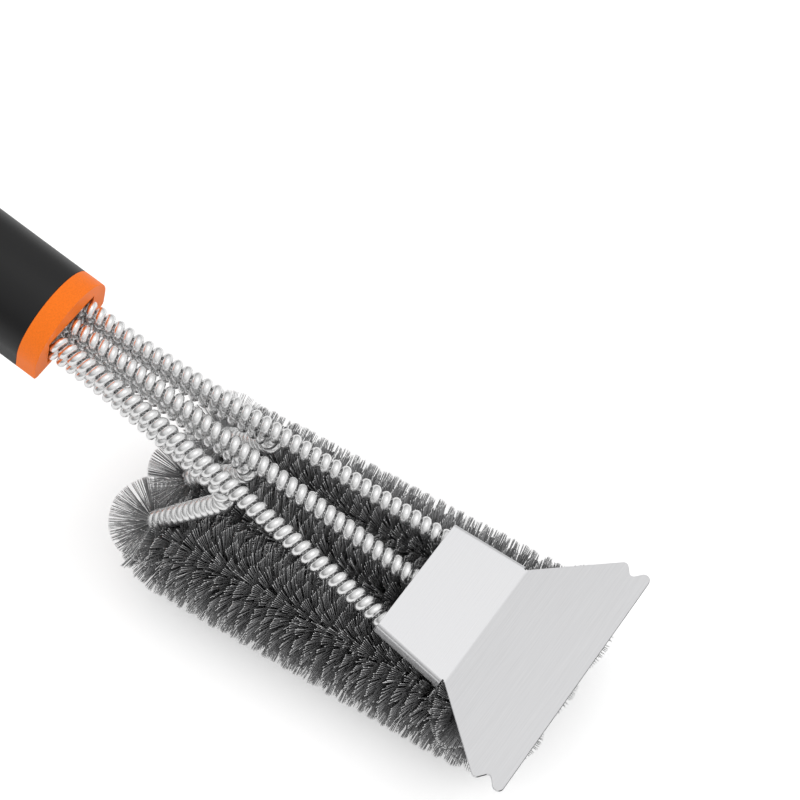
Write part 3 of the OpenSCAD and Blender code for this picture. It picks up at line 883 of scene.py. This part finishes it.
def makeScraper():
    deselectAll()
    outline = halfSheetOutline()
    mesh = bpy.data.meshes.new("scraperSheet")
    face = list(range(len(outline)))[::-1]
    mesh.from_pydata([(x * mm, y * mm, 0) for x, y in outline], [], [face])
    mesh.update()
    piece = bpy.data.objects.new("scraperSheet", mesh)
    bpy.context.collection.objects.link(piece)
    makeActive(piece)
    rear, relief = -sheet["sleeveLen"], -sheet["relief"]
    bend = sheet["edgeBend"] - sheet["thick"] / 2
    radius = sheet["sleeveHeight"] - sheet["thick"] / 2
    edgeY = sleeveHalf(rear) - sheet["edgeBend"]
    axis = Vector((relief - rear, sleeveHalf(relief) - sleeveHalf(rear), 0)).normalized()
    outward = Vector((-axis.y, axis.x, 0))
    near = 0.01             # closer than this is the same place
    # the side of the sleeve: a tight bend, a straight wall, a quarter round and the flap
    selectEdges(piece, lambda p: p.x < relief + near and p.y > edgeY - near)
    bendAt = Vector((rear, edgeY, -bend))
    bpy.ops.mesh.spin(steps=6, angle=math.pi / 2, center=bendAt * mm, axis=axis)
    bpy.ops.mesh.extrude_region_move(TRANSFORM_OT_translate={"value": (0, 0, (bend - radius) * mm)})
    roundAt = Vector((rear, edgeY, -radius)) + outward * (bend - radius)
    bpy.ops.mesh.spin(steps=10, angle=math.pi / 2, center=roundAt * mm, axis=axis)
    bpy.ops.mesh.extrude_region_move(TRANSFORM_OT_translate={"value": (0, 0, 0)})
    bpy.ops.object.mode_set(mode="OBJECT")
    for vertex in piece.data.vertices:
        if vertex.select:
            vertex.co.y = sheet["seam"] / 2 * mm
        elif vertex.co.z < -near * mm:
            # both ends of the sleeve are cut square
            end = rear if vertex.co.x < (rear + relief) / 2 * mm else relief
            vertex.co += axis * ((end * mm - vertex.co.x) / axis.x)
    for vertex in piece.data.vertices:
        if vertex.select:
            vertex.co.x = (rear if vertex.co.x < (rear + relief) / 2 * mm else relief) * mm
    bpy.ops.object.mode_set(mode="EDIT")
    # the fold is a short bend of a few turns
    turns = sheet["foldTurns"]
    for i in range(turns + 1):
        cutX = sheet["foldStart"] + sheet["foldRun"] * i / turns
        bpy.ops.mesh.select_all(action="SELECT")
        bpy.ops.mesh.bisect(plane_co=(cutX * mm, 0, 0), plane_no=(1, 0, 0))
    for i in range(turns):
        edgeX = sheet["foldStart"] + sheet["foldRun"] * (i + 0.5) / turns
        selectVerts(piece, lambda p: p.x > edgeX and p.z > -1)
        angle = math.radians(sheet["rise"]) / turns
        turn = Matrix.Rotation(-angle, 4, "Y")
        centre = Vector((edgeX * mm, 0, 0))
        bpy.ops.object.mode_set(mode="OBJECT")
        for vertex in piece.data.vertices:
            if vertex.select:
                vertex.co = turn @ (vertex.co - centre) + centre
    mirror = piece.modifiers.new("otherSide", "MIRROR")
    mirror.use_axis = (False, True, False)
    mirror.use_clip = True
    mirror.merge_threshold = near * mm
    solid = piece.modifiers.new("thickness", "SOLIDIFY")
    solid.thickness = sheet["thick"] * mm
    solid.offset = 0
    solid.use_even_offset = True
    bevel = piece.modifiers.new("cutEdges", "BEVEL")
    bevel.width = sheet["edge"] * mm
    bevel.segments = 2
    bevel.limit_method = "ANGLE"
    bevel.angle_limit = math.radians(40)
    finishModifiers(piece)
    # from the flat sheet's frame into place over the shafts
    fold = onShaft(sheet["foldBack"], sheet["sleeveHeight"] - sheet["thick"] / 2)
    place = Matrix.Translation(fold * mm) @ Matrix.Rotation(tilt, 4, "Y")
    piece.data.transform(place)
    bpy.ops.object.mode_set(mode="EDIT")
    bpy.ops.mesh.select_all(action="SELECT")
    bpy.ops.mesh.normals_make_consistent(inside=False)
    bpy.ops.object.mode_set(mode="OBJECT")
    smoothByAngle(piece, 50)
    piece.data.materials.append(sheetMetal)
    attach(piece, "root")
    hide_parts("scraper")


makeScraper()
print("stage: scraper")


# Handle, collar and socket
grip = {
    "length": 232.4,
    "wide": 38.8,
    "high": 29.3,
    "drop": 14.0,           # flat underside below the shafts
    "edge": 2.5,            # radius along the flat underside
    "swell": 0.03,          # how much wider it is halfway
    "taper": 0.84,          # height at the rear as a share of the front's
    "endRound": 17.0,       # length of the rounded rear end
    "endTurn": 84,          # degrees of a round that it runs through
    "endShape": 0.6,
    "hole": 4.5,            # radius
    "holeBack": 19.0,
    "collarLen": 7.6,
    "collarLead": 0.5,      # the collar's face stands a little forward
    "windowWide": 24.4,
    "windowUp": 3.9,
    "windowDown": 11.2,
    "socketRecess": 5.0,
    "socketLen": 18.0,
    "past": 5.0,            # how far a cut runs out past the faces
    "softEdge": 0.5,
    "collarEdge": 0.35,
}


def gripSection():
    # round top, straight sides and a flat base, counter-clockwise seen from the front
    dome = grip["wide"] / 2
    domeZ = grip["high"] - grip["drop"] - dome
    edge = grip["edge"]
    base = -grip["drop"]
    points = arcPoints((0, domeZ), dome, 0, 180, 36)
    points += arcPoints((edge - dome, base + edge), edge, 180, 270, 6)
    points += arcPoints((dome - edge, base + edge), edge, 270, 360, 6)
    return points


def smoothStep(t):
    t = max(0.0, min(1.0, t))
    return t * t * (3 - 2 * t)


def gripRing(back, shrink=1.0):
    # section at a distance behind the collar
    t = back / (grip["length"] - grip["endRound"])
    middleZ = grip["high"] / 2 - grip["drop"]
    wide = shrink * (1 + grip["swell"] * math.sin(math.pi * min(1, t)) ** 2)
    high = shrink * (1 - (1 - grip["taper"]) * smoothStep(t))
    x = -layout["shaftLen"] - grip["collarLen"] - back
    return [(x, wide * y, middleZ + high * (z - middleZ)) for y, z in gripSection()]


def loft(name, rings):
    # closed skin through rings of equal length
    count = len(rings[0])
    faces = [list(range(count))[::-1]]
    for i in range(len(rings) - 1):
        for k in range(count):
            a, b = i * count + k, i * count + (k + 1) % count
            faces.append([a, b, b + count, a + count])
    last = (len(rings) - 1) * count
    faces.append([last + k for k in range(count)])
    mesh = bpy.data.meshes.new(name)
    mesh.from_pydata([(x * mm, y * mm, z * mm) for ring in rings for x, y, z in ring], [], faces)
    mesh.update()
    piece = bpy.data.objects.new(name, mesh)
    bpy.context.collection.objects.link(piece)
    makeActive(piece)
    bpy.ops.object.mode_set(mode="EDIT")
    bpy.ops.mesh.select_all(action="SELECT")
    bpy.ops.mesh.normals_make_consistent(inside=False)
    bpy.ops.object.mode_set(mode="OBJECT")
    return piece


def windowTool(front, rear):
    # the box that the window takes away
    half = grip["windowWide"] / 2
    low, high = (rear, -half, -grip["windowDown"]), (front, half, grip["windowUp"])
    deselectAll()
    bpy.ops.mesh.primitive_cube_add(size=1, location=[(h + l) / 2 * mm for l, h in zip(low, high)])
    bpy.context.object.scale = [(h - l) * mm for l, h in zip(low, high)]
    bpy.ops.object.transform_apply(location=True, rotation=True, scale=True)
    return bpy.context.object


def drillTool(x, radius):
    # upright, and longer than the grip is high
    deselectAll()
    middle = (x * mm, 0, 0)
    bpy.ops.mesh.primitive_cylinder_add(vertices=48, radius=radius * mm, depth=0.1, location=middle)
    return bpy.context.object


def cutAway(piece, tool):
    cut = piece.modifiers.new("opening", "BOOLEAN")
    cut.operation = "DIFFERENCE"
    cut.solver = "EXACT"
    cut.object = tool
    finishModifiers(piece)
    bpy.data.objects.remove(tool, do_unlink=True)


def roundEdges(piece, width):
    bevel = piece.modifiers.new("softEdges", "BEVEL")
    bevel.width = width * mm
    bevel.segments = 3
    bevel.limit_method = "ANGLE"
    bevel.angle_limit = math.radians(50)
    finishModifiers(piece)


def placeOnShafts(piece):
    piece.data.transform(Matrix.Translation(shaftStart * mm) @ Matrix.Rotation(tilt, 4, "Y"))


def makeHandle():
    straight = grip["length"] - grip["endRound"]
    straightSteps, endSteps = 30, 14
    rings = [gripRing(straight * i / straightSteps) for i in range(straightSteps)]
    for i in range(endSteps + 1):
        turned = math.radians(grip["endTurn"] * i / endSteps)
        share = math.sin(turned) / math.sin(math.radians(grip["endTurn"]))
        back = grip["length"] - grip["endRound"] * (1 - share)
        rings.append(gripRing(back, math.cos(turned) ** grip["endShape"]))
    piece = loft("gripBody", rings)
    front = -layout["shaftLen"] - grip["collarLen"]
    socketEnd = -layout["shaftLen"] - grip["socketRecess"] - grip["socketLen"]
    cutAway(piece, windowTool(front + grip["past"], socketEnd))
    cutAway(piece, drillTool(front - grip["length"] + grip["holeBack"], grip["hole"]))
    roundEdges(piece, grip["softEdge"])
    placeOnShafts(piece)
    smoothByAngle(piece, 35)
    piece.data.materials.append(gripPlastic)
    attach(piece, "root")
    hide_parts("handle")


def makeCollar():
    front = -layout["shaftLen"]
    section = gripSection()
    ends = (front - grip["collarLen"], front + grip["collarLead"])
    rings = [[(x, y, z) for y, z in section] for x in ends]
    piece = loft("collarRing", rings)
    cutAway(piece, windowTool(front + grip["past"], front - grip["collarLen"] - grip["past"]))
    roundEdges(piece, grip["collarEdge"])
    placeOnShafts(piece)
    smoothByAngle(piece, 35)
    piece.data.materials.append(collarPlastic)
    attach(piece, "root")
    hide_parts("collar")


makeHandle()
makeCollar()
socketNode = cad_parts["stem_socket"]
for socketSlot in socketNode.material_slots:
    socketSlot.material = socketPlastic
print("stage: handle, collar and socket")
